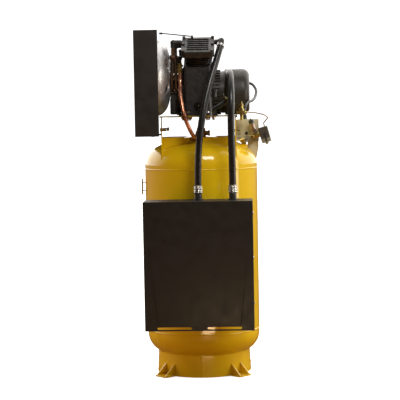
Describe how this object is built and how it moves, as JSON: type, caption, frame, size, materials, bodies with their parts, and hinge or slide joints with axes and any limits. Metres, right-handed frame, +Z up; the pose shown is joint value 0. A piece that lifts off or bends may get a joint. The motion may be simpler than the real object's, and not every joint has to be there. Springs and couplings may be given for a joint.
{
  "type": "vertical tank compressor",
  "caption": "Upright receiver tank with a belt-driven two-stage V pump and motor on a top deck, belt guard, and a front intake silencer box with hoses.",
  "frame": {"origin": "on the tank's axis at the floor, in the middle of the four anchor holes", "axes": "+Z up along the tank, +X along the crankshaft away from the belt guard, -Y towards the silencer box"},
  "size_m": [0.7093, 0.963, 1.833],
  "materials": {
    "tank_yellow": "gloss",
    "black_sheet": "satin powder coat",
    "black_cast": "painted, matt",
    "motor_paint": "satin",
    "flywheel_grey": "machined and silver painted",
    "steel": "machined",
    "zinc": "zinc plated",
    "brass": "machined",
    "copper": "drawn copper",
    "rubber_hose": "matt",
    "black_plastic": "matt",
    "grey_metal": "satin",
    "starter_beige": "satin",
    "filter_foam": "pleated paper",
    "clear_glass": "clear",
    "needle_red": "gloss"
  },
  "bodies": {
    "root": {"base_feet": "tank_yellow", "base_ring": "tank_yellow", "bearing_covers": "black_cast", "belt_guard": "black_sheet", "brass_fittings": "brass", "breather_hose": "rubber_hose", "connecting_rods": "steel", "crankcase": "black_cast", "cylinder_heads": "black_cast", "cylinders": "black_cast", "deck": "tank_yellow", "discharge_tube": "copper", "fasteners": "zinc", "gauge_case": "grey_metal", "gauge_glass": "clear_glass", "guard_supports": "black_sheet", "hose_ferrules": "zinc", "hose_stubs": "black_plastic", "intake_hose": "rubber_hose", "intercooler": "copper", "manifold": "brass", "motor_cable": "rubber_hose", "motor_end_bells": "motor_paint", "motor_fan_cover": "motor_paint", "motor_frame": "motor_paint", "motor_stator": "steel", "oil_filter": "black_plastic", "oil_sight_glass": "clear_glass", "pilot_valve": "brass", "pipe_plugs": "zinc", "pistons": "steel", "pump_bolts": "black_cast", "pump_pipes": "black_cast", "relief_valves": "brass", "shaft_bearings": "steel", "silencer_cover": "black_sheet", "silencer_filters": "filter_foam", "silencer_frame": "black_sheet", "starter_box": "starter_beige", "starter_cover": "starter_beige", "switch_base": "grey_metal", "switch_cover": "black_plastic", "tank_brackets": "grey_metal", "tank_shell": "tank_yellow", "tank_valves": "brass", "unloader_tube": "copper", "v_belts": "rubber_hose", "valve_plates": "black_cast"},
    "crank": {"crankshaft": "steel", "flywheel": "flywheel_grey"},
    "motor_shaft": {"motor_rotor": "steel", "motor_fan": "black_plastic", "motor_pulley": "flywheel_grey"},
    "outlet_lever": {"outlet_handle": "needle_red"},
    "drain_wing": {"drain_handle": "grey_metal"},
    "switch_arm": {"switch_lever": "black_plastic"},
    "safety_stem": {"safety_valve_cap": "black_plastic"},
    "needle": {"gauge_needle": "needle_red"},
    "filler_cap": {"oil_filler_cap": "black_plastic"},
    "reset": {"reset_button": "black_plastic"}
  },
  "joints": [
    {"name": "crank_spin", "type": "hinge", "parent": "root", "child": "crank", "pos_m": [0, -0.15, 1.597], "axis": [1, 0, 0], "continuous": true, "deforming": ["connecting_rods"]},
    {"name": "motor_spin", "type": "hinge", "parent": "root", "child": "motor_shaft", "pos_m": [0, 0.29, 1.52], "axis": [1, 0, 0], "continuous": true},
    {"name": "outlet_turn", "type": "hinge", "parent": "root", "child": "outlet_lever", "pos_m": [0, 0.358, 0.93], "axis": [0, 0, 1], "range_deg": [0, 90]},
    {"name": "drain_turn", "type": "hinge", "parent": "root", "child": "drain_wing", "pos_m": [0, 0.02, 0.03], "axis": [0, 1, 0], "range_deg": [0, 90]},
    {"name": "switch_turn", "type": "hinge", "parent": "root", "child": "switch_arm", "pos_m": [0.34765, -0.1005, 1.28473], "axis": [0, 1, 0], "range_deg": [0, 35]},
    {"name": "safety_lift", "type": "slide", "parent": "root", "child": "safety_stem", "axis": [-0.2756, 0, 0.9613], "range_m": [0, 0.003], "stiffness_N_per_m": 800},
    {"name": "needle_turn", "type": "hinge", "parent": "root", "child": "needle", "pos_m": [0.25522, -0.092, 1.26239], "axis": [0, 1, 0], "range_deg": [0, 270]},
    {"name": "filler_turn", "type": "hinge", "parent": "root", "child": "filler_cap", "pos_m": [0.086, -0.215, 1.515], "axis": [0, 0, 1], "range_deg": [0, 360]},
    {"name": "reset_push", "type": "slide", "parent": "root", "child": "reset", "axis": [0, 1, 0], "range_m": [0, 0.004], "stiffness_N_per_m": 300}
  ],
  "couplings": [
    {"joint": "motor_spin", "follows": "crank_spin", "ratio": 2.5}
  ]
}
